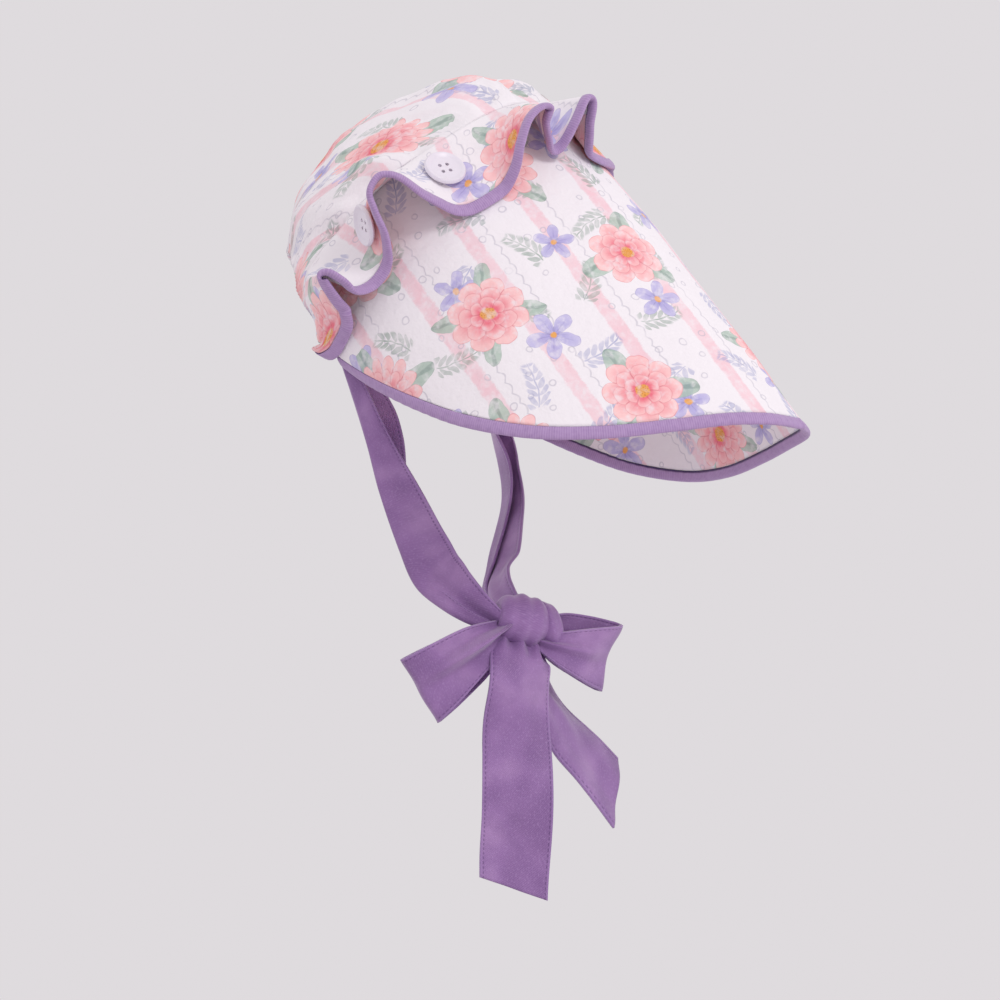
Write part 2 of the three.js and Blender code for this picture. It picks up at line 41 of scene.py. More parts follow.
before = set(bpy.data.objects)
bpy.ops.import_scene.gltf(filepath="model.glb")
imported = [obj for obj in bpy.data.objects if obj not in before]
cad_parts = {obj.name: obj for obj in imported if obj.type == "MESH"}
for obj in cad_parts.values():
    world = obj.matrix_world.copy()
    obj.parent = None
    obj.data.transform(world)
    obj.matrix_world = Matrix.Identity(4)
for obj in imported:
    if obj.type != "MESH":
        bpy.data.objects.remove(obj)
cadLow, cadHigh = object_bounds()

earToSeat = Vector((0, 15.14, -107.73))  # from the ear line to the origin inside the crown


def placed(point):
    return (point + earToSeat) * 0.001


def paint(red, green, blue):  # a screen colour as the shader wants it
    def linear(value):
        value = value / 255
        return value / 12.92 if value < 0.04045 else ((value + 0.055) / 1.055) ** 2.4
    return (linear(red), linear(green), linear(blue), 1)


# The camera, the light and the floor, in metres
studio = {
    "target": (0.02244, -0.0139, -0.15806), "azimuth": -62, "elevation": -7, "distance": 1.0,
    "lens": 90, "sensor": 36, "wall": (228, 224, 227), "wallStrength": 0.95, "lampsAim": (0, -0.03, -0.1),
    "floorDrop": 0.62, "floorRadius": 4.0, "floorColour": (232, 228, 230), "floorRoughness": 0.9,
    "lamps": [
        {"name": "key_softbox", "from": (-1.05, -1.85, 0.95), "size": 0.65, "power": 15.5},
        {"name": "front_softbox", "from": (0.9, -2.0, 0.5), "size": 1.6, "power": 2.6},
        {"name": "rear_softbox", "from": (-0.5, 1.8, 1.2), "size": 1.4, "power": 4},
    ],
}


def makeStudio():
    scene = bpy.context.scene
    scene.view_settings.view_transform = "Standard"
    turn, rise = math.radians(studio["azimuth"]), math.radians(studio["elevation"])
    back = Vector((math.sin(turn) * math.cos(rise), -math.cos(turn) * math.cos(rise), math.sin(rise)))
    camera = bpy.data.objects.new("camera", bpy.data.cameras.new("camera"))
    camera.data.lens = studio["lens"]
    camera.data.sensor_width = studio["sensor"]
    camera.location = Vector(studio["target"]) + back * studio["distance"]
    camera.rotation_euler = (-back).to_track_quat("-Z", "Y").to_euler()
    scene.collection.objects.link(camera)
    scene.camera = camera

    for lamp in studio["lamps"]:
        light = bpy.data.lights.new(lamp["name"], "AREA")
        light.shape = "DISK"
        light.size = lamp["size"]
        light.energy = lamp["power"]
        holder = bpy.data.objects.new(lamp["name"], light)
        holder.location = lamp["from"]
        aim = Vector(studio["lampsAim"]) - holder.location
        holder.rotation_euler = aim.to_track_quat("-Z", "Y").to_euler()
        scene.collection.objects.link(holder)

    world = bpy.data.worlds.new("studio_wall")
    world.use_nodes = True
    glow = world.node_tree.nodes["Background"]
    glow.inputs["Color"].default_value = paint(*studio["wall"])
    glow.inputs["Strength"].default_value = studio["wallStrength"]
    scene.world = world

    bm = bmesh.new()
    bmesh.ops.create_circle(bm, cap_ends=True, segments=96, radius=studio["floorRadius"])
    bmesh.ops.translate(bm, verts=bm.verts, vec=(0, 0, cadLow.z - studio["floorDrop"]))
    floor = finishMesh(bm, "studio_floor")
    matt = bpy.data.materials.new("pale_floor")
    matt.use_nodes = True
    shader = matt.node_tree.nodes["Principled BSDF"]
    shader.inputs["Base Color"].default_value = paint(*studio["floorColour"])
    shader.inputs["Roughness"].default_value = studio["floorRoughness"]
    floor.data.materials.append(matt)


def finishMesh(bm, name):
    mesh = bpy.data.meshes.new(name)
    bm.to_mesh(mesh)
    bm.free()
    for face in mesh.polygons:
        face.use_smooth = True
    piece = bpy.data.objects.new(name, mesh)
    bpy.context.scene.collection.objects.link(piece)
    return piece


# Reading tables
def curveThrough(places, values):  # a smooth curve through the table's rows
    last = len(places) - 1
    slopes = []
    for i in range(last + 1):
        before, after = max(i - 1, 0), min(i + 1, last)
        slopes.append((values[after] - values[before]) / (places[after] - places[before]))

    def read(x):
        x = min(max(x, places[0]), places[last])
        i = 0
        while i < last - 1 and x > places[i + 1]:
            i += 1
        span = places[i + 1] - places[i]
        u = (x - places[i]) / span
        start = (2 * u**3 - 3 * u**2 + 1) * values[i] + (u**3 - 2 * u**2 + u) * span * slopes[i]
        end = (3 * u**2 - 2 * u**3) * values[i + 1] + (u**3 - u**2) * span * slopes[i + 1]
        return start + end
    return read


def columnsOf(table, key):  # a smooth curve for each of the table's other columns
    return {name: curveThrough(table[key], table[name]) for name in table if name != key}


def drift(x, y, z):  # smooth noise between -1 and 1
    return noise.noise(Vector((x, y, z)))


def tangent(way, u, small, low=0):
    return (way(min(u + small, 1)) - way(max(u - small, low))).normalized()


def mix(start, end, share):
    return start + (end - start) * share


def easeBetween(x, low, high):
    u = min(max((x - low) / (high - low), 0), 1)
    return u * u * (3 - 2 * u)


# The crown's shape
crown = {
    "earHalfWidth": 58, "reach": 119, "halfWidth": 65, "wall": 0.9, "seamStart": 0.004,
    "earGather": 2, "earStop": 0.985, "gathers": 9, "gatherDepth": 1.1, "puffs": 2, "smallPuffs": 0.9,
    "puckers": 74, "puckerDepth": 0.6, "foldRun": 5.2, "crease": 1.7, "columns": 300, "rows": 84,
    "sections": {
        "angle": [56, 62, 70, 82, 95, 108, 120, 133, 148, 166],
        "reach": [0.975, 1, 0.97, 0.91, 0.85, 0.76, 0.605, 0.44, 0.31, 0.22],
        "width": [0.955, 0.985, 1, 1, 0.99, 0.97, 0.945, 0.92, 0.905, 0.9],
    },
    "seam": {
        "at": [0, 0.2, 0.4, 0.5, 0.6, 0.72, 0.84, 0.93, 1],
        "angle": [57.5, 58, 60, 62.5, 68, 80, 94, 101, 104],
    },
    "hem": {
        "at": [0, 0.2, 0.35, 0.5, 0.6, 0.7, 0.8, 0.9, 1],
        "angle": [139, 136, 129, 123, 118, 117, 120, 118, 111],
    },
}
capSection = columnsOf(crown["sections"], "angle")
seamSection = columnsOf(crown["seam"], "at")
hemSection = columnsOf(crown["hem"], "at")


def capPoint(at, angle, lift=0):  # at runs from the right ear, -1, over the top to the left, 1
    halfWidth = capSection["width"](angle) * crown["halfWidth"]
    earTurn = math.pi - math.asin(min(crown["earHalfWidth"] / halfWidth, 1))
    rise = -math.cos(earTurn)
    turn = at * earTurn * crown["earStop"]
    height = crown["reach"] * capSection["reach"](angle) + lift
    out = height * (math.cos(turn) + rise) / (1 + rise) + crown["earGather"]
    slope = math.radians(angle)
    return Vector(((halfWidth + lift) * math.sin(turn), -out * math.cos(slope), out * math.sin(slope)))


def seamAngle(at):
    return seamSection["angle"](abs(at))


def seamPoint(at):
    return capPoint(at, seamAngle(at))


def crownFace(at, angle, lift):  # the cap's face, with soft puffs beyond the seam
    point = capPoint(at, angle, lift)
    soft = noise.noise(point * 0.045) * crown["puffs"]
    soft += noise.noise(point * 0.1 + Vector((7, 3, 1))) * crown["smallPuffs"]
    return point + point.normalized() * soft * easeBetween(angle - seamAngle(at), 0, 12)


def crownPoint(at, back):  # back runs from the seam, 0, to the hem, 1
    swell = crown["gatherDepth"] * (1 - 0.75 * math.sin(math.pi * back)) * (1 - abs(at) ** 6)
    ripple = swell * (0.5 + 0.5 * math.cos(2 * math.pi * crown["gathers"] * at))
    nearSeam = math.exp(-back * 16) + 0.6 * math.exp(-(1 - back) * 14)
    pucker = math.cos(2 * math.pi * crown["puckers"] * at + 2 * math.sin(9 * at))
    ripple += crown["puckerDepth"] * nearSeam * pucker
    # the frill's folds run on into the cap, and fine creases start at the seam
    ripple += crown["foldRun"] * (foldSection["lift"](at) - 12) / 50 * back * 7 * math.exp(1 - back * 7)
    crease = drift(at * 10 + back * 1.5, back * 1.1, 11)
    sharp = max(1 - abs(crease) * 7, 0)
    ripple -= crown["crease"] * sharp * math.exp(-back * 3) * easeBetween(back, 0, 0.08)
    gathered = drift(at * 13, back * 2, 5) * 3 + drift(at * 30, back * 4, 2) * 1.4
    ripple += gathered * (0.3 + math.exp(-back * 5)) * easeBetween(back, 0, 0.06)
    return crownFace(at, mix(seamAngle(at), hemSection["angle"](abs(at)), back), ripple)


# The peak's shape
peak = {
    "reach": 168, "drop": 42, "spring": 2, "wall": 1.7, "end": 0.97, "columns": 300, "rows": 90,
    "puckers": 46, "puckerDepth": 0.1, "soft": 0.9, "within": (0, -60, -300),
    "edge": {
        "at": [0, 0.12, 0.2, 0.3, 0.42, 0.54, 0.66, 0.78, 0.88, 0.95, 1],
        "side": [0, 0.31, 0.535, 0.76, 1.005, 1.19, 1.24, 1.205, 1.125, 1.06, 1.01],
        "forward": [1, 0.97, 0.905, 0.81, 0.685, 0.55, 0.405, 0.27, 0.145, 0.06, 0.012],
        "down": [0.81, 0.82, 0.85, 0.92, 0.99, 0.975, 0.85, 0.64, 0.4, 0.2, 0.03],
    },
}
tape = {"width": 4.8, "thickness": 2.5, "gap": 0.3, "stations": 620, "round": 3.2}
peakSection = columnsOf(peak["edge"], "at")


def peakEdgePoint(at):
    away = abs(at)
    side = math.copysign(peakSection["side"](away) * crown["earHalfWidth"], at)
    forward = peakSection["forward"](away) * peak["reach"]
    return Vector((side, -forward, -peakSection["down"](away) * peak["drop"]))


def seamFrame(at):  # directions at the seam: along it, forward down the peak, and out off the peak
    origin = seamPoint(at)
    along = tangent(seamPoint, at, 0.001, -1)
    forward = (peakEdgePoint(at) - origin).normalized()
    out = forward.cross(along).normalized()
    return {"origin": origin, "along": along, "forward": along.cross(out).normalized(), "out": out}


def peakPoint(at, reach):  # reach runs from the seam, 0, to the peak's outer edge, 1
    here = seamFrame(at)
    point = here["origin"].lerp(peakEdgePoint(at), reach)
    soft = noise.noise(point * 0.03) * peak["soft"] * easeBetween(reach, 0, 0.3)
    soft += peak["puckerDepth"] * math.cos(2 * math.pi * peak["puckers"] * at) * math.exp((reach - 1) * 28)
    return point + here["out"] * (peak["spring"] * 4 * reach * (1 - reach) + soft)


# The ruffle's shape
ruffle = {
    "width": 29.5, "wall": 0.9, "ease": 0.3, "rows": 26, "columns": 640, "crest": 2.2, "soft": 1.3,
    "folds": {
        "at": [-1, -0.993, -0.985, -0.97, -0.95, -0.935, -0.9, -0.865, -0.845, -0.825,
               -0.81, -0.79, -0.765, -0.74,
               -0.715, -0.69, -0.66, -0.63, -0.6, -0.585, -0.56, -0.53, -0.5, -0.48, -0.455, -0.41,
               -0.365, -0.31, -0.26, -0.215, -0.195, -0.175, -0.15, -0.14, -0.125, -0.1, -0.075,
               -0.055, -0.035, -0.01, 0.02, 0.05, 0.12, 0.28, 0.42, 0.56, 0.61, 0.65, 0.69, 0.74,
               0.79, 0.83, 0.87, 0.93, 1],
        "lift": [92, 64, 31, 13, 10, 15, 29.5, 42.5, 45.5, 42.5, 34.4, 23.3, 13, 10,
                 14.7, 28.2, 46, 57.6, 62.8, 62, 54.4, 35, 16, 8.3, 2.5, 3,
                 16, 31.4, 44, 48, 45, 31.4, 9, 6.6, 10.7, 27.7, 44.8,
                 42.8, 24.4, 4, 1, 1, 2, 5, 3, 4, 25, 48, 30, 6,
                 28, 46, 40, 20, 30],
        "lean": [6, 26, 26, 16, 8, 2, -3.5, -7, -6.5, -4, 1.5, 9, 6.7, 0,
                 -3, -7.7, -5, 2, 5.7, 7, 12, 18, 18, 19, 17, 11,
                 11.5, 19, 23, 24, 22.4, 30, 27.6, 26, 25, 26, 25,
                 22, 23.6, 16, 4, -25, -52, -42, -14, 4, 0, 4, 0, -6,
                 -2, 6, 4, -6, -4],
        "width": [0.25, 0.3, 0.36, 0.47, 0.66, 0.76, 0.88, 0.965, 0.985, *[1] * 12,
                  1.02, 1.05, 1.08, 1.085, 1.05, 1.035, 1.02, *[1] * 10,
                  1.03, 1.08, 1.03, 0.9, 0.86, 0.95, *[1] * 11],
    },
    "root": {  # how far behind the seam the ruffle starts, in degrees, where it hangs over the ears
        "at": [0, 0.7, 0.75, 0.8, 0.85, 0.9, 0.95, 1],
        "back": [0, 0, 5, 12, 15, 14, 9, 1],
    },
}
foldSection = columnsOf(ruffle["folds"], "at")
rootSection = columnsOf(ruffle["root"], "at")


def overEar(at):  # 1 where the ruffle hangs over an ear
    return easeBetween(abs(at), 0.7, 0.8)


def rufflePoint(at, distance):  # distance in millimetres from the seam to the free edge
    here = seamFrame(at)
    lift, lean = math.radians(foldSection["lift"](at)), math.radians(foldSection["lean"](at))
    share = distance / ruffle["width"]
    long = ruffle["width"] * foldSection["width"](at)
    clear = tape["gap"] * 2 + ruffle["wall"]
    base = here["origin"] + here["out"] * clear + here["forward"] * tape["gap"]
    raised = long * math.sin(lift) * math.cos(lean) - clear - ruffle["ease"]
    raised = (raised + math.hypot(raised, 1.4)) / 2 + clear + ruffle["ease"] * 0.5
    free = here["origin"] + here["out"] * raised + here["forward"] * long * math.cos(lift) * math.cos(lean)
    free -= here["along"] * long * math.sin(lean)
    over = overEar(at)
    root = base.lerp(crownFace(at, seamAngle(at) + rootSection["back"](abs(at)), ruffle["crest"]), over)
    reach = min(distance / (peakEdgePoint(at) - here["origin"]).length, 1)
    bulge = peak["spring"] * 4 * reach * (1 - reach) + over * 2.5 * 4 * share * (1 - share)
    soft = drift(at * 24, share * 1.6, 8) * ruffle["soft"] * math.sin(math.pi * min(share, 1))
    return root.lerp(free, share) + here["out"] * (bulge + soft * foldSection["lift"](at) / 30)


def rufflePlaces():
    count = ruffle["columns"]
    evenly = [-1 + 2 * i / count for i in range(count + 1)]
    return [u * (1.3 - 0.3 * u * u) for u in evenly]  # closer together at the ends


# Making cloth
def clothFrom(name, points, flats, wall, within):
    # points and flats are rows of places and of flat-cloth places; the cloth faces away from within
    columns, rows = len(points) - 1, len(points[0]) - 1
    bm = bmesh.new()
    bmesh.ops.create_grid(bm, x_segments=columns, y_segments=rows, size=1)
    uv = bm.loops.layers.uv.new("flatCloth")
    spots = {}
    for vert in bm.verts:
        spots[vert] = (round((vert.co.x + 1) / 2 * columns), round((vert.co.y + 1) / 2 * rows))
    for face in bm.faces:
        for loop in face.loops:
            i, j = spots[loop.vert]
            loop[uv].uv = (flats[i][j][0] * 0.01, flats[i][j][1] * 0.01)
    for vert, (i, j) in spots.items():
        vert.co = placed(points[i][j])
    bm.normal_update()
    middle = placed(within)
    facing = sum((face.calc_center_median() - middle).dot(face.normal) for face in bm.faces)
    if facing < 0:
        bmesh.ops.reverse_faces(bm, faces=bm.faces)
    piece = finishMesh(bm, name)
    if wall:
        thick = piece.modifiers.new("wall", "SOLIDIFY")
        thick.thickness = wall * 0.001
        thick.offset = -1
        thick.material_offset = 1
        thick.use_quality_normals = True
    return piece


def tapeFrom(name, stations):  # tape folded over a cloth edge: a soft flattened tube along it
    half = tape["thickness"] / 2
    width = tape["width"]
    face = [(0.1, 0.72), (0.5, 0.95), (1.6, 1)]
    face += [(width * on, off) for on, off in ((0.62, 0.98), (0.86, 0.74), (0.98, 0.3))]
    outline = [(on, -half * off) for on, off in face] + [(width, 0)]
    outline += [(on, half * off) for on, off in reversed(face)] + [(0.1, 0), (0.1, -half * 0.72)]
    girth = [0]
    for (on, off), (nextOn, nextOff) in zip(outline, outline[1:]):
        girth.append(girth[-1] + math.hypot(nextOn - on, nextOff - off))
    runs = [0]
    for a, b in zip(stations, stations[1:]):
        runs.append(runs[-1] + (b["edge"] - a["edge"]).length)
    points, flats = [], []
    for station, run in zip(stations, runs):
        inward = min(run, runs[-1] - run, tape["round"]) / tape["round"]
        full = math.sqrt(1 - (1 - inward) ** 2) * 0.85 + 0.15  # the ends are turned in
        edge, ahead, aside = station["edge"], station["on"], station["face"]
        points.append([edge + ahead * on * full + aside * off * full for on, off in outline])
        flats.append([(run, g) for g in girth])
    piece = clothFrom(name, points, flats, 0, Vector((0, 0, 0)))
    bm = bmesh.new()
    bm.from_mesh(piece.data)
    bmesh.ops.remove_doubles(bm, verts=bm.verts, dist=1e-7)
    ends = [edge for edge in bm.edges if edge.is_boundary]
    bmesh.ops.holes_fill(bm, edges=ends, sides=0)
    bmesh.ops.recalc_face_normals(bm, faces=bm.faces)
    bm.to_mesh(piece.data)
    bm.free()
    return piece


def edgeStations(points, wall, out):  # the far edge of a cloth grid, with the ways past it and off its face
    stations = []
    last = len(points) - 1
    for i, row in enumerate(points):
        lengthwise = (points[min(i + 1, last)][-1] - points[max(i - 1, 0)][-1]).normalized()
        on = row[-1] - row[-2]
        on = (on - lengthwise * on.dot(lengthwise)).normalized()
        stations.append({"edge": row[-1], "on": on, "face": lengthwise.cross(on).normalized()})
    agreed = sum(station["face"].dot(away) for station, away in zip(stations, out))
    for station in stations:
        if agreed < 0:
            station["face"].negate()
        station["edge"] = station["edge"] - station["face"] * wall / 2
    return stations


def flatStrip(points):  # lays a ruled strip flat, one rung after another from its middle
    middle = len(points) // 2
    inner, outer = [None] * len(points), [None] * len(points)
    rung = (points[middle][-1] - points[middle][0]).length
    inner[middle], outer[middle] = Vector((0, 0)), Vector((0, -rung))

    def third(a, b, fromA, fromB, side):
        base = (b - a).length
        x = (fromA**2 - fromB**2 + base**2) / (2 * base)
        y = math.sqrt(max(fromA**2 - x**2, 0))
        way = (b - a) / base
        return a + way * x + Vector((-way.y, way.x)) * y * side
    for step, side in ((1, 1), (-1, -1)):
        i = middle
        while 0 <= i + step < len(points):
            a, b = points[i][0], points[i][-1]
            c, d = points[i + step][0], points[i + step][-1]
            inner[i + step] = third(inner[i], outer[i], (c - a).length, (c - b).length, side)
            outer[i + step] = third(inner[i + step], outer[i], (d - c).length, (d - b).length, side)
            i += step
    flats = []
    for i, row in enumerate(points):
        flats.append([inner[i].lerp(outer[i], j / (len(row) - 1)) for j in range(len(row))])
    return flats


makeStudio()

# The printed cloth
print("making the crown")
headMiddle = Vector((0, 0, 20))


def seamRuns(places):  # the flat cloth's length along the seam and the ruffle, from the top of the head
    lengths = [0]
    between = ruffle["width"] * 0.6
    for a, b in zip(places, places[1:]):
        seamStep = (seamPoint(b) - seamPoint(a)).length
        freeStep = (rufflePoint(b, between) - rufflePoint(a, between)).length
        lengths.append(lengths[-1] + math.sqrt(seamStep * freeStep))
    run = curveThrough(places, lengths)
    top = run(0)
    return lambda at: run(at) - top


seamRun = seamRuns([i / 150 for i in range(-150, 151)])


def makeCrown():
    start = crown["seamStart"]
    points, flats = [], []
    for i in range(crown["columns"] + 1):
        at = -1 + 2 * i / crown["columns"]
        column, flat, run = [], [], 0
        joined = 1 - overEar(at)
        for j in range(crown["rows"] + 1):
            back = start + (1 - start) * j / crown["rows"]
            point = crownPoint(at, back)
            turnedUp = joined * (1 - easeBetween(back, 0, 0.035))
            point = point.lerp(rufflePoint(at, 0), turnedUp)
            if column:
                run += (point - column[-1]).length
            column.append(point)
            flat.append((seamRun(at), run))
        points.append(column)
        flats.append(flat)
    return clothFrom("crown_cloth", points, flats, crown["wall"], headMiddle)


def makeRuffle():
    places = rufflePlaces()
    points, flats = [], []
    for at in places:
        distances = [ruffle["width"] * j / ruffle["rows"] for j in range(ruffle["rows"] + 1)]
        points.append([rufflePoint(at, distance) for distance in distances])
        flats.append([(seamRun(at), -distance) for distance in distances])
    out = [seamFrame(at)["out"] for at in places]
    cloth = clothFrom("ruffle_cloth", points, flats, ruffle["wall"], headMiddle)
    binding = tapeFrom("ruffle_tape", edgeStations(points, ruffle["wall"], out))
    return cloth, binding


def peakPlaces(count):
    return [mix(-peak["end"], peak["end"], i / count) for i in range(count + 1)]


def makePeak():
    points = []
    for at in peakPlaces(peak["columns"]):
        length = (peakEdgePoint(at) - seamPoint(at)).length
        start = tape["gap"] / length
        end = max(1 - tape["width"] / length, 2 * start)
        points.append([peakPoint(at, mix(start, end, j / peak["rows"])) for j in range(peak["rows"] + 1)])
    cloth = clothFrom("peak_cloth", points, flatStrip(points), peak["wall"], Vector(peak["within"]))
    edge, out = [], []
    for at in peakPlaces(tape["stations"]):
        length = (peakEdgePoint(at) - seamPoint(at)).length
        end = max(1 - tape["width"] / length, 2 * tape["gap"] / length)
        edge.append([peakPoint(at, end - 2 / length), peakPoint(at, end)])
        out.append(seamFrame(at)["out"])
    binding = tapeFrom("peak_tape", edgeStations(edge, peak["wall"], out))
    return cloth, binding


crownCloth = makeCrown()
print("making the ruffle")
ruffleCloth, ruffleTape = makeRuffle()
print("making the peak")
peakCloth, peakTape = makePeak()

# The ties and the bow
print("making the ties and the bow")
ribbon = {"width": 28, "wall": 1.1, "across": 32, "pleats": 3.2, "valleyWidth": 0.24, "soft": 2.4}
bow = {"drop": 100, "forward": 50, "turn": 40, "loopLength": 48, "loopDepth": 12, "loopDrop": 1.9}
tie = {
    "steps": 110, "across": 40, "outward": (0.883, -0.469),
    "apart": 0.9, "bend": 0.006, "dent": 2.6, "soft": 1.8,
}
tieRows = {  # the fold's place, and the widths of the leaf in front and the leaf behind it
    "at": [0, 0.14, 0.3, 0.45, 0.66, 0.78, 0.87, 0.94, 1],
    "side": [56.7, 57, 53.5, 48, 36, 27, 20, 14.3, 10.3],
    "forward": [0.1, 8.4, 12.6, 14.7, 17, 18.9, 26.3, 35.4, 46],
    "down": [-1.8, 19.7, 37.1, 54.1, 76.3, 89, 97.1, 102.9, 106],
    "front": [4, 7.9, 10.8, 15.8, 20.5, 22, 20, 15, 8],
    "behind": [4, 15.5, 15.5, 12, 8, 6, 6, 5, 4],
    "open": [10, 30, 16, 7, 5, 6, 8, 12, 14],
}
loopRows = {
    "step": [i / 10 for i in range(11)],
    "out": [0.1, 0.26, 0.48, 0.74, 0.95, 1, 0.95, 0.74, 0.46, 0.24, 0.06],
    "front": [0, 0.4, 0.66, 0.58, 0.28, 0, -0.3, -0.42, -0.38, -0.26, -0.16],
    "width": [0.24, 0.44, 0.72, 0.9, 0.98, 1, 1, 0.92, 0.76, 0.5, 0.3],
    "curl": [70, 60, 40, 22, 8, 0, -6, -16, -30, -50, -60],
    "valley": [4, 8.5, 9.5, 5.5, 1.6, 0, 0.3, 1, 2, 3, 3],
    "gape": [0.7, 1, 0.95, 0.6, 0.2, 0, -0.1, -0.15, -0.1, 0, 0],
}
loops = {
    "right": {"side": -1, "droop": 33, "share": 1.03, "valley": 1, "valleyAt": 0.22, "opening": -3},
    "left": {"side": 1, "droop": 18, "share": 0.83, "valley": 0.35, "valleyAt": 0.1, "opening": 5},
}
tailSlants = {"right": 0.33, "left": -0.54}  # how far each end is cut aslant
tailRows = {  # the middle line of each hanging end, in the bow's own directions
    "right": {
        "at": [0, 0.06, 0.12, 0.2, 0.4, 0.7, 1],
        "across": [0, -1.2, -2.6, -3.8, -5, -5.2, -5.2],
        "down": [4, 9, 14.5, 23, 42, 72, 103],
        "front": [0, 4.5, 9.4, 11.6, 9.2, 9.6, 6],
        "width": [0.6, 0.78, 0.91, 0.96, 0.97, 0.97, 0.96],
        "turn": [0, 0, -5, -12, 2, 18, 6], "curl": [60, 55, 40, 30, 14, 10, 12],
        "pleat": [1.8, 1.5, 0.7, 0.1, 0, 0, 0],
    },
    "left": {
        "at": [0, 0.15, 0.35, 0.55, 0.78, 1],
        "across": [4, 6.5, 11.5, 20.5, 31.6, 42.4],
        "down": [4, 12, 26, 41, 54.4, 66.6],
        "front": [-3, -5, -6, -6, -5.5, -5],
        "width": [0.5, 0.7, 0.9, 1, 1, 1],
        "turn": [-46, -48, -46, -40, -34, -30], "curl": [60, 50, 40, 30, 22, 16],
        "pleat": [1.5, 1.2, 0.6, 0.2, 0, 0],
    },
}
bowTurn = math.radians(bow["turn"])
bowAcross = Vector((math.cos(bowTurn), -math.sin(bowTurn), 0))
bowFront = Vector((-math.sin(bowTurn), -math.cos(bowTurn), 0))
bowUp = Vector((0, 0, 1))
knotMiddle = Vector((0, -bow["forward"], -bow["drop"]))


def bowPoint(across, up, front):
    return knotMiddle + bowAcross * across + bowUp * up + bowFront * front


def ribbonFrom(name, stations):  # a curled, pleated ribbon along a row of stations
    points, flats, run = [], [], 0
    before = stations[0]["middle"]
    for station in stations:
        run += (station["middle"] - before).length
        before = station["middle"]
        row, flat = [], []
        halfCurl = math.radians(station["curl"]) / 2
        for j in range(ribbon["across"] + 1):
            q = 2 * j / ribbon["across"] - 1
            if abs(halfCurl) < 0.02:
                sideways, depth = q, 0
            else:
                sideways = math.sin(q * halfCurl) / math.sin(halfCurl)
                depth = (1 - math.cos(q * halfCurl)) / math.sin(halfCurl)
            half = station["width"] / 2
            fold = station["pleat"] * math.cos(ribbon["pleats"] * math.pi * q + 0.6)
            fold -= station["valley"] * math.exp(-((q - station["valleyAt"]) / ribbon["valleyWidth"]) ** 2)
            fold += drift(run * 0.04, q * 1.1, 4) * ribbon["soft"] * easeBetween(run, 6, 30)
            place = station["middle"] + station["across"] * sideways * half
            row.append(place + station["face"] * (fold - depth * half))
            flat.append((run, q * ribbon["width"] / 2))
        points.append(row)
        flats.append(flat)
    return clothFrom(name, points, flats, ribbon["wall"], knotMiddle)


def makeTie(name, side):  # a ribbon folded lengthwise, with a leaf before and a leaf behind its fold
    section = columnsOf(tieRows, "at")

    def foldPlace(u):
        return Vector((side * section["side"](u), -section["forward"](u), -section["down"](u)))
    steps, across = tie["steps"], tie["across"]
    points, flats, run = [], [], 0
    for i in range(steps + 1):
        u = i / steps
        fold = foldPlace(u)
        if points:
            run += (fold - points[-1][across // 2]).length
        along = tangent(foldPlace, u, 0.12)
        outward = Vector((side * tie["outward"][0], tie["outward"][1], 0))
        outward = (outward - along * outward.dot(along)).normalized()
        ahead = along.cross(outward) * side
        spread = math.radians(section["open"](u))
        row, flat = [], []
        for j in range(across + 1):
            q = 2 * j / across - 1
            bent = math.sqrt(q * q + tie["bend"]) - math.sqrt(tie["bend"])
            wide = section["front"](u) if q < 0 else section["behind"](u)
            apart = tie["apart"] if q < 0 else -tie["apart"]
            lift = (-q * wide) * math.sin(spread) + apart * min(abs(q) * 8, 1)
            lift -= tie["dent"] * easeBetween(u, 0.5, 0.85) * math.exp(-((q + 0.42) / 0.16) ** 2)
            lift += drift(u * 4, q * 1.2, 9) * tie["soft"] * easeBetween(u, 0, 0.3)
            row.append(fold + ahead * wide * bent * math.cos(spread) + outward * lift)
            flat.append((run, q * ribbon["width"] / 2))
        points.append(row)
        flats.append(flat)
    return clothFrom(name, points, flats, ribbon["wall"], knotMiddle)


def makeLoop(name, loop):
    section = columnsOf(loopRows, "step")
    lean = math.radians(loop["droop"])
    side, opening = loop["side"], loop["opening"]
    out = bowAcross * side * math.cos(lean) - bowUp * math.sin(lean)
    across = bowFront.cross(out).normalized() * side

    def middleAt(step):
        away = out * section["out"](step) * bow["loopLength"] * loop["share"]
        away -= across * section["gape"](step) * opening
        front = bowFront * section["front"](step) * bow["loopDepth"]
        return knotMiddle - bowUp * bow["loopDrop"] + away + front
    stations = []
    steps = 130
    for i in range(steps + 1):
        step = i / steps
        along = tangent(middleAt, step, 0.005)
        narrower = max(section["gape"](step), 0) * abs(opening)
        stations.append({
            "middle": middleAt(step), "across": across, "face": along.cross(across).normalized() * -side,
            "width": section["width"](step) * ribbon["width"] - narrower, "curl": section["curl"](step),
            "pleat": 0, "valley": section["valley"](step) * loop["valley"],
            "valleyAt": loop["valleyAt"] * section["out"](step),
        })
    return ribbonFrom(name, stations)


def makeTail(name, rows, slant):
    section = columnsOf(rows, "at")

    def middleAt(place):
        return bowPoint(section["across"](place), -section["down"](place), section["front"](place))
    stations = []
    steps = 100
    for i in range(steps + 1):
        place = i / steps
        down = tangent(middleAt, place, 0.01)
        face = (bowFront - down * down.dot(bowFront)).normalized()
        face = Quaternion(down, math.radians(section["turn"](place))) @ face
        across = face.cross(down)
        stations.append({
            "middle": middleAt(place), "face": face,
            "across": across + down * slant * easeBetween(place, 0.62, 1),
            "width": section["width"](place) * ribbon["width"], "curl": section["curl"](place),
            "pleat": section["pleat"](place), "valley": 0, "valleyAt": 0,
        })
    return ribbonFrom(name, stations)


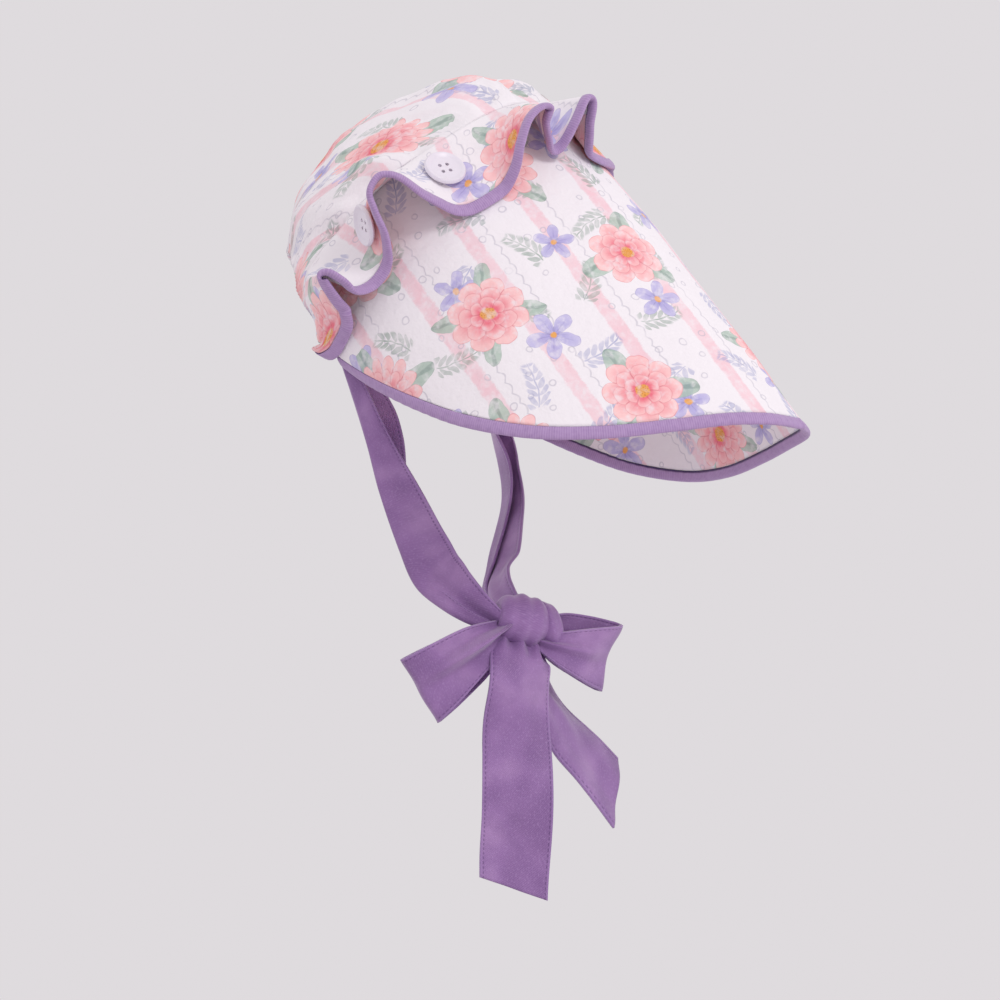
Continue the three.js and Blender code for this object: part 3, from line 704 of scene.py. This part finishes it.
tieRight = makeTie("tie_right_cloth", -1)
tieLeft = makeTie("tie_left_cloth", 1)
loopRight = makeLoop("bow_loop_right_cloth", loops["right"])
loopLeft = makeLoop("bow_loop_left_cloth", loops["left"])
tailRight = makeTail("tie_end_right_cloth", tailRows["right"], tailSlants["right"])
tailLeft = makeTail("tie_end_left_cloth", tailRows["left"], tailSlants["left"])

knotBands = [  # rings of gathered cloth: the wrap over the front, and the root of the left loop beside it
    {"middle": (-0.5, -1, 1), "tilt": -8, "halfWidth": 10.4, "tight": 0.26, "high": 10, "deep": 10,
     "pleats": 3.2},
    {"middle": (11, -3.4, 0), "tilt": 14, "halfWidth": 4.4, "tight": 0.1, "high": 10.4, "deep": 9,
     "pleats": 1.4},
]


def makeKnot():
    whole = bmesh.new()
    aroundSteps, sectionSteps = 120, 64
    for band in knotBands:
        bm = bmesh.new()
        bmesh.ops.create_grid(bm, x_segments=aroundSteps, y_segments=sectionSteps, size=1)
        uv = bm.loops.layers.uv.new("flatCloth")
        for face in bm.faces:
            for loop in face.loops:
                loop[uv].uv = (loop.vert.co.x * 0.3, loop.vert.co.y * 0.1)
        tilt = math.radians(band["tilt"])
        for vert in bm.verts:
            around, ring = (vert.co.x + 1) * math.pi, (vert.co.y + 1) * math.pi
            gathered = math.exp(-((around - math.pi * 1.35) / 0.8) ** 2)  # under the front
            half = band["halfWidth"] * (1 - band["tight"] * gathered)
            wide = math.cos(ring)
            outside = max(math.sin(ring), 0)
            crease = math.cos(band["pleats"] * math.pi * wide + 1.2) * outside
            thick = 0.5 + 0.5 * math.sin(ring) + crease * (0.05 + 0.15 * gathered)
            thick += (0.1 * gathered + 0.02 * math.sin(2 * around)) * outside
            x = wide * half
            up = math.cos(around) * band["high"] * thick
            front = math.sin(around) * band["deep"] * thick
            turned = (x * math.cos(tilt) - up * math.sin(tilt), x * math.sin(tilt) + up * math.cos(tilt))
            middle = band["middle"]
            vert.co = placed(bowPoint(middle[0] + turned[0], middle[1] + turned[1], middle[2] + front))
        bmesh.ops.remove_doubles(bm, verts=bm.verts, dist=1e-6)
        bmesh.ops.recalc_face_normals(bm, faces=bm.faces)
        part = bpy.data.meshes.new("band")
        bm.to_mesh(part)
        bm.free()
        whole.from_mesh(part)
    return finishMesh(whole, "bow_knot_cloth")


knot = makeKnot()

# The buttons
print("making the buttons")
button = {
    "radius": 8, "thickness": 2.4, "rim": 1.3, "holeRadius": 0.75, "holePitch": 3.1, "steps": 72,
    "sharpAngle": 0.7, "colour": (236, 230, 240),
    "places": {"button_1": (-0.485, 0.48), "button_2": (-0.685, 0.68),
               "button_3": (0.49, 0.5), "button_4": (0.735, 0.42)},
}


def buttonPlace(at, reach):  # on the frill, at a share of its width from the seam
    distance = reach * ruffle["width"]
    middle = rufflePoint(at, distance)
    along = (rufflePoint(at + 0.01, distance) - rufflePoint(at - 0.01, distance)).normalized()
    on = (rufflePoint(at, distance + 1) - middle).normalized()
    out = on.cross(along).normalized()
    on = along.cross(out)
    proud = 0  # how far cloth swells under the button
    for i in range(29):
        place = at - 0.14 + 0.01 * i
        for j in range(9):
            far = distance - button["radius"] + button["radius"] * j / 4
            away = rufflePoint(place, far) - middle
            height = away.dot(out)
            if (away - out * height).length < button["radius"]:
                proud = max(proud, height)
    centre = middle + out * (tape["gap"] + proud)
    return centre, on, along, out


def makeButton(name, at, reach):
    radius, thick, rim = button["radius"], button["thickness"], button["rim"]
    profile = [
        (0, 0), (radius * 0.78, 0), (radius * 0.93, thick * 0.18), (radius, thick * 0.5),
        (radius * 0.985, thick * 0.78), (radius - rim * 0.45, thick), (radius - rim * 0.9, thick * 0.97),
        (radius - rim * 1.5, thick * 0.74), (radius - rim * 2, thick * 0.64), (0, thick * 0.6),
    ]
    bm = bmesh.new()
    verts = [bm.verts.new((x, 0, z)) for x, z in profile]
    edges = [bm.edges.new(pair) for pair in zip(verts, verts[1:])]
    bmesh.ops.spin(bm, geom=verts + edges, cent=(0, 0, 0), axis=(0, 0, 1), angle=2 * math.pi,
                   steps=button["steps"], use_merge=True)
    bmesh.ops.remove_doubles(bm, verts=bm.verts, dist=1e-5)
    bmesh.ops.recalc_face_normals(bm, faces=bm.faces)
    piece = finishMesh(bm, name)
    bm = bmesh.new()
    for x in (-1, 1):
        for y in (-1, 1):
            half = button["holePitch"] / 2
            shift = Matrix.Translation((x * half, y * half, thick / 2))
            bmesh.ops.create_cone(bm, cap_ends=True, segments=24, radius1=button["holeRadius"],
                                  radius2=button["holeRadius"], depth=thick * 3, matrix=shift)
    drill = finishMesh(bm, "drill")
    cut = piece.modifiers.new("holes", "BOOLEAN")
    cut.operation = "DIFFERENCE"
    cut.solver = "EXACT"
    cut.object = drill
    bpy.context.view_layer.update()
    drilled = bpy.data.meshes.new_from_object(piece.evaluated_get(bpy.context.evaluated_depsgraph_get()))
    piece.modifiers.clear()
    piece.data = drilled
    bpy.data.objects.remove(drill)
    centre, on, along, out = buttonPlace(at, reach)
    for vert in piece.data.vertices:
        vert.co = placed(centre + on * vert.co.x + along * vert.co.y + out * vert.co.z)
    bm = bmesh.new()
    bm.from_mesh(piece.data)
    bmesh.ops.recalc_face_normals(bm, faces=bm.faces)
    for edge in bm.edges:
        if len(edge.link_faces) == 2 and edge.calc_face_angle(0) > button["sharpAngle"]:
            edge.smooth = False
    bm.to_mesh(piece.data)
    bm.free()
    for face in piece.data.polygons:
        face.use_smooth = True
    return piece


buttons = {name: makeButton(name + "_shell", *place) for name, place in button["places"].items()}


# The finishes
print("making the finishes")


def feed(tree, node, entry, value):  # links what has a socket, and types in what is fixed
    if hasattr(value, "socket"):
        tree.links.new(value.socket, node.inputs[entry])
    else:
        node.inputs[entry].default_value = value


class Wire:  # a number in a node tree, so that patterns can be written as sums
    def __init__(self, tree, socket):
        self.tree, self.socket = tree, socket

    def math(self, operation, *others):
        node = self.tree.nodes.new("ShaderNodeMath")
        node.operation = operation
        for entry, value in enumerate((self,) + others):
            feed(self.tree, node, entry, value)
        return Wire(self.tree, node.outputs[0])

    def __add__(self, other):
        return self.math("ADD", other)

    def __sub__(self, other):
        return self.math("SUBTRACT", other)

    def __mul__(self, other):
        return self.math("MULTIPLY", other)

    def __truediv__(self, other):
        return self.math("DIVIDE", other)

    def rise(self, low, high):  # 0 below low, 1 above high, and smooth between
        node = self.tree.nodes.new("ShaderNodeMapRange")
        node.interpolation_type = "SMOOTHSTEP"
        for entry, value in enumerate((self, low, high)):
            feed(self.tree, node, entry, value)
        return Wire(self.tree, node.outputs[0])

    def fall(self, low, high):
        return self.rise(low, high) * -1 + 1

    def off(self):
        return self.math("ABSOLUTE")

    def part(self):
        return self.math("FRACT")

    def whole(self):
        return self.math("FLOOR")


def flatPlace(tree):  # millimetres on the flat cloth
    uv = tree.nodes.new("ShaderNodeUVMap")
    uv.uv_map = "flatCloth"
    split = tree.nodes.new("ShaderNodeSeparateXYZ")
    tree.links.new(uv.outputs[0], split.inputs[0])
    return Wire(tree, split.outputs[0]) * 100, Wire(tree, split.outputs[1]) * 100


def bunch(x, y, z=0):
    node = x.tree.nodes.new("ShaderNodeCombineXYZ")
    for entry, value in enumerate((x, y, z)):
        feed(x.tree, node, entry, value)
    return node.outputs[0]


def grain(x, y, scale, detail=2, seed=0):  # soft noise around 0.5
    node = x.tree.nodes.new("ShaderNodeTexNoise")
    node.inputs["Scale"].default_value = scale
    node.inputs["Detail"].default_value = detail
    x.tree.links.new(bunch(x, y, seed), node.inputs["Vector"])
    return Wire(x.tree, node.outputs[0])


def scattered(x, y, pitch, jitter, seed):
    # staggered cells: the place inside one, turned at random, and three chances for it
    row = (y / pitch[1]).whole()
    along = x / pitch[0] + row * 0.5 + seed * 0.37
    noiseNode = x.tree.nodes.new("ShaderNodeTexWhiteNoise")
    x.tree.links.new(bunch(along.whole(), row, seed), noiseNode.inputs["Vector"])
    split = x.tree.nodes.new("ShaderNodeSeparateColor")
    x.tree.links.new(noiseNode.outputs["Color"], split.inputs[0])
    chances = [Wire(x.tree, socket) for socket in split.outputs]
    u = (along.part() - 0.5) * pitch[0] - (chances[0] - 0.5) * jitter[0]
    v = ((y / pitch[1]).part() - 0.5) * pitch[1] - (chances[1] - 0.5) * jitter[1]
    turn = chances[2] * (2 * math.pi)
    cosine, sine = turn.math("COSINE"), turn.math("SINE")
    return u * cosine + v * sine, v * cosine - u * sine, chances


def polar(u, v):
    return (u * u + v * v).math("SQRT"), v.math("ARCTAN2", u)


def petals(r, a, count, radius, waist, roundness, turn=0.0):
    # a ring of petals: what it covers, its outlines, and the share of the way out to its edge
    lobe = ((a + turn) * 0.5 * count).math("COSINE").off()
    edge = (lobe.math("POWER", roundness) * (1 - waist) + waist) * radius
    cover = (edge - r).rise(-0.15, 0.2)
    outline = (r - edge).off().fall(0.1, 0.45).math("MAXIMUM", (lobe * r * 2 / count).fall(0.05, 0.42))
    return cover, outline * cover, r / edge


class Paints:  # colours laid over one another
    def __init__(self, tree, ground):
        self.tree = tree
        node = tree.nodes.new("ShaderNodeRGB")
        node.outputs[0].default_value = paint(*ground)
        self.socket = node.outputs[0]

    def lay(self, colour, amount):
        node = self.tree.nodes.new("ShaderNodeMix")
        node.data_type = "RGBA"
        feed(self.tree, node, 0, amount)
        feed(self.tree, node, 6, self)
        feed(self.tree, node, 7, colour if isinstance(colour, Paints) else paint(*colour))
        self.socket = node.outputs[2]
        return self


printInks = {
    "cloth": (246, 241, 245), "stripe": (247, 205, 214), "scallop": (186, 182, 196),
    "ring": (190, 186, 200), "sprig": (146, 168, 154), "sprigBlue": (166, 170, 208),
    "leaf": (186, 206, 192), "leafDark": (110, 142, 130),
    "lilac": (172, 164, 220), "lilacPale": (216, 210, 240), "lilacLine": (112, 104, 172),
    "petal": (255, 208, 208), "petalDeep": (242, 124, 140), "petalLine": (214, 92, 112),
    "heart": (238, 168, 84), "heartDark": (196, 112, 60), "faded": (238, 228, 232),
}
# the rim colour is painted shadow in the seam where the tape meets the cloth
tapeInks = {
    "ground": (176, 146, 192), "shade": (150, 118, 170), "rib": (204, 178, 216), "rim": (58, 40, 88),
}
# the twill's darker and lighter grounds are painted shade and painted light, laid in broad soft patches
twillInks = {
    "ground": (153, 115, 171), "paintedShade": (120, 85, 138), "light": (178, 142, 190), "mottle": (126, 90, 146),
    "slub": (186, 154, 204), "thread": (178, 146, 198), "edge": (178, 146, 202), "seam": (92, 64, 116),
}


def paintPrint(tree):  # pink blossoms, lilac stars and sprigs over lengthwise stripes
    ink = printInks
    x, y = flatPlace(tree)
    wobbles = [(grain(x, y, 0.22, 1, seed) - 0.5) * 1.6 for seed in (4, 9)]
    x, y = x + wobbles[0], y + wobbles[1]
    wash = grain(x, y, 0.16, 3, 2)
    fine = grain(x, y, 1.6, 2, 7)
    cloth = Paints(tree, ink["cloth"])

    stripePitch = 27  # stripes, each with a wavy line beside it
    across = ((x / stripePitch + 0.31).part() - 0.5) * stripePitch
    band = (across.off() + (fine - 0.5) * 1.4).fall(2.3, 3.3)
    cloth.lay(ink["stripe"], band * (wash * 0.7 + 0.42))
    scallop = across - 6.4 - (y * (math.pi / 5)).math("SINE").off() * 1.1
    cloth.lay(ink["scallop"], scallop.off().fall(0.1, 0.5) * 0.5)

    u, v, chances = scattered(x, y, (9, 8), (4, 3.5), 3)  # small rings
    r = polar(u, v)[0]
    ring = (r - 0.9 - chances[0] * 0.5).off().fall(0.08, 0.42)
    cloth.lay(ink["ring"], ring * chances[1].rise(0.62, 0.64) * 0.55)

    u, v, chances = scattered(x, y, (29, 25), (6, 4), 11)  # sprigs: a bent stem with leaflets
    u = u + v * v * 0.018
    side = u.off()
    step = ((v - side * 0.9) / 3.1).part() * 3.1 - 1.55
    within = v.off().fall(8.2, 9.2)
    leaflet = (step.off() - side * (side * -1 + 4.6) * 0.27).fall(-0.25, 0.15) * side.rise(0.1, 0.5)
    leaflet = leaflet * (side + v * 0.16).fall(3.2, 4.4) * within
    stem = side.fall(0.1, 0.42) * within
    spray = Paints(tree, ink["sprig"]).lay(ink["sprigBlue"], chances[0].rise(0.45, 0.55))
    cloth.lay(spray, (leaflet * 0.75).math("MAXIMUM", stem) * (wash * 0.9 + 0.25))

    u, v, chances = scattered(x, y, (47, 41), (9, 8), 23)  # five-petalled stars
    r, a = polar(u, v)
    cover, lines, share = petals(r, a, 5, chances[1] * 2.5 + 8, 0.3, 0.9)
    star = Paints(tree, ink["lilac"]).lay(ink["lilacPale"], share * (wash * 0.9 + 0.25))
    vein = ((a * 15).math("COSINE")).rise(0.6, 1) * share.fall(0.2, 0.9)
    star.lay(ink["lilacLine"], lines * 0.5 + vein * 0.4)
    star.lay(ink["heart"], r.fall(1, 1.5))
    cloth.lay(star, cover * 0.95)

    u, v, chances = scattered(x, y, (61, 53), (12, 7), 5)  # blossoms: leaves, then three rings of petals
    r, a = polar(u, v)
    size = chances[0] * 0.24 + 0.88
    r = r / size
    leaves = (chances[1] * 2).whole() + 3
    cover, lines = petals(r, a, leaves, 23.5, 0, 3.4, 0.5)[:2]
    leaf = Paints(tree, ink["leaf"]).lay(ink["leafDark"], lines * 0.5 + (wash - 0.35) * 0.8)
    rib = ((a + 0.5) * 0.5 * leaves).math("COSINE").off().rise(0.995, 0.9995)
    leaf.lay(ink["leafDark"], rib * 0.6)
    cloth.lay(leaf, cover * 0.85)
    many = (chances[0] * 3).whole() * 4 + 8
    rings = [(many, 16.6, 0.72, 0.5, 0.0, 0.0), (many - 1, 12.2, 0.72, 0.5, 0.5, 0.3),
             (6, 7.8, 0.7, 0.5, 1.1, 0.55)]
    for count, radius, waist, roundness, turn, depth in rings:
        cover, lines, share = petals(r, a, count, radius, waist, roundness, turn)
        deep = share.fall(0.35, 0.98) * 0.85 + depth * 0.5 + (wash - 0.5) * 0.7
        deep = deep.math("MAXIMUM", 0.0).math("MINIMUM", 1.0)
        bloom = Paints(tree, ink["petal"]).lay(ink["petalDeep"], deep)
        streak = (a * count * 3).math("COSINE").rise(0.7, 1) * share.fall(0.3, 1)
        bloom.lay(ink["petalLine"], lines * 0.62 + streak * 0.22)
        cloth.lay(bloom, cover)
    seeds = ((a * 9).math("COSINE") * (r * 4).math("COSINE")).rise(0.1, 0.6)
    heart = Paints(tree, ink["heart"]).lay(ink["heartDark"], seeds * 0.6)
    cloth.lay(heart, (r + (fine - 0.5) * 1.2).fall(2.7, 3.3))
    cloth.lay(ink["cloth"], grain(x, y, 0.34, 4, 13).rise(0.42, 0.78) * 0.62)
    return cloth


def freshMaterial(name, rough, sheen):
    material = bpy.data.materials.new(name)
    material.use_nodes = True
    tree = material.node_tree
    shader = tree.nodes["Principled BSDF"]
    shader.inputs["Roughness"].default_value = rough
    shader.inputs["Sheen Weight"].default_value = sheen
    shader.inputs["Specular IOR Level"].default_value = 0.25
    return material, tree, shader


def addBump(tree, shader, height, strength):  # height in millimetres
    node = tree.nodes.new("ShaderNodeBump")
    node.inputs["Distance"].default_value = 0.001
    node.inputs["Strength"].default_value = strength
    tree.links.new(height.socket, node.inputs["Height"])
    tree.links.new(node.outputs[0], shader.inputs["Normal"])


def weave(x, y, pitch):  # threads over and under each other
    turn = 2 * math.pi / pitch
    return (x * turn).math("SINE") * (y * turn).math("SINE")


def makeCottonPrint(name, fade):
    material, tree, shader = freshMaterial(name, 0.88, 0.12)
    cloth = paintPrint(tree)
    if fade:
        cloth.lay(printInks["faded"], fade)
    tree.links.new(cloth.socket, shader.inputs["Base Color"])
    x, y = flatPlace(tree)
    rumple = grain(x, y, 0.09, 3, 5) * 2.2 + grain(x, y, 0.55, 2, 8) * 0.5 + weave(x, y, 0.7) * 0.035
    addBump(tree, shader, rumple, 0.5)
    return material


def stitches(run, away, length, gap, width):  # a dashed line of thread
    along = (run / (length + gap)).part() * (length + gap) - (length + gap) / 2
    thread = along.off().fall(length / 2 - 0.15, length / 2 + 0.1)
    return thread * away.off().fall(width / 2 - 0.1, width / 2 + 0.1)


def makeBinding():
    material, tree, shader = freshMaterial("purple_binding", 0.75, 0.25)
    run, girth = flatPlace(tree)
    ribs = (run * (2 * math.pi / 0.85)).math("SINE")
    mottle = grain(run, girth, 0.5, 3)
    cloth = Paints(tree, tapeInks["ground"])
    cloth.lay(tapeInks["shade"], mottle.rise(0.35, 0.75) * 0.45)
    cloth.lay(tapeInks["rib"], ribs.rise(0, 1) * 0.35)
    # a dark line along both edges of the tape, where it meets the cloth: painted shadow in the seam
    fold = 2 * tape["width"] + tape["thickness"]
    rim = girth.fall(0.5, 1.3).math("MAXIMUM", (girth * -1 + fold * 0.96).fall(0.5, 1.3))
    cloth.lay(tapeInks["rim"], rim * 0.95)
    tree.links.new(cloth.socket, shader.inputs["Base Color"])
    addBump(tree, shader, ribs * 0.05 + mottle * 0.12, 0.7)
    return material


def makeTwill():
    material, tree, shader = freshMaterial("purple_twill", 0.5, 0.35)
    run, aside = flatPlace(tree)
    half = ribbon["width"] / 2
    mottle = grain(run, aside, 0.13, 3)
    slub = grain(run, aside, 1.3, 2, 3)
    threads = ((run + aside) * (2 * math.pi / 0.9)).math("SINE")
    # painted shade and painted light: broad soft patches darken and lighten the ground in place of the
    # shading of soft folds
    shade = grain(run, aside, 0.045, 1, 21)
    cloth = Paints(tree, twillInks["ground"])
    cloth.lay(twillInks["paintedShade"], shade.rise(0.42, 0.68) * 0.6)
    cloth.lay(twillInks["light"], shade.fall(0.34, 0.5) * 0.45)
    cloth.lay(twillInks["mottle"], mottle.rise(0.35, 0.75) * 0.4)
    cloth.lay(twillInks["slub"], slub.rise(0.5, 0.75) * 0.35)
    cloth.lay(twillInks["thread"], threads.rise(0.2, 1) * 0.2)
    edge = aside.off().rise(half - 1, half - 0.3)
    cloth.lay(twillInks["edge"], edge * 0.35)
    seam = stitches(run, aside.off() - (half - 1.2), 1.1, 0.8, 0.42)
    cloth.lay(twillInks["seam"], seam * 0.6)
    tree.links.new(cloth.socket, shader.inputs["Base Color"])
    groove = (aside.off() - (half - 1.3)).off().fall(0.1, 0.9)
    height = slub * 0.07 + threads * 0.03 - groove * 0.2 - seam * 0.1
    addBump(tree, shader, height + grain(run, aside, 0.06, 2, 6) * 2.4, 0.6)
    return material


def makeButtonFinish():
    material, _, shader = freshMaterial("button_white", 0.34, 0)
    shader.inputs["Base Color"].default_value = paint(*button["colour"])
    shader.inputs["Specular IOR Level"].default_value = 0.5
    shader.inputs["Subsurface Weight"].default_value = 0.12
    shader.inputs["Subsurface Radius"].default_value = (0.002, 0.002, 0.002)
    return material


cottonPrint = makeCottonPrint("cotton_print", 0)
cottonReverse = makeCottonPrint("cotton_reverse", 0.5)
purpleTape = makeBinding()
purpleTwill = makeTwill()
buttonWhite = makeButtonFinish()


def dress(piece, finish, node, reverse=None):
    piece.data.materials.clear()
    piece.data.materials.append(finish)
    piece.data.materials.append(reverse or finish)
    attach(piece, "root")
    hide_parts(node)


dress(crownCloth, cottonPrint, "crown", reverse=cottonReverse)
dress(ruffleCloth, cottonPrint, "ruffle")
dress(ruffleTape, purpleTape, "ruffle_binding")
dress(peakCloth, cottonPrint, "peak")
dress(peakTape, purpleTape, "peak_binding")
for piece in (tieRight, tieLeft, loopRight, loopLeft, tailRight, tailLeft, knot):
    dress(piece, purpleTwill, piece.name.removesuffix("_cloth"))
for name, piece in buttons.items():
    dress(piece, buttonWhite, name)
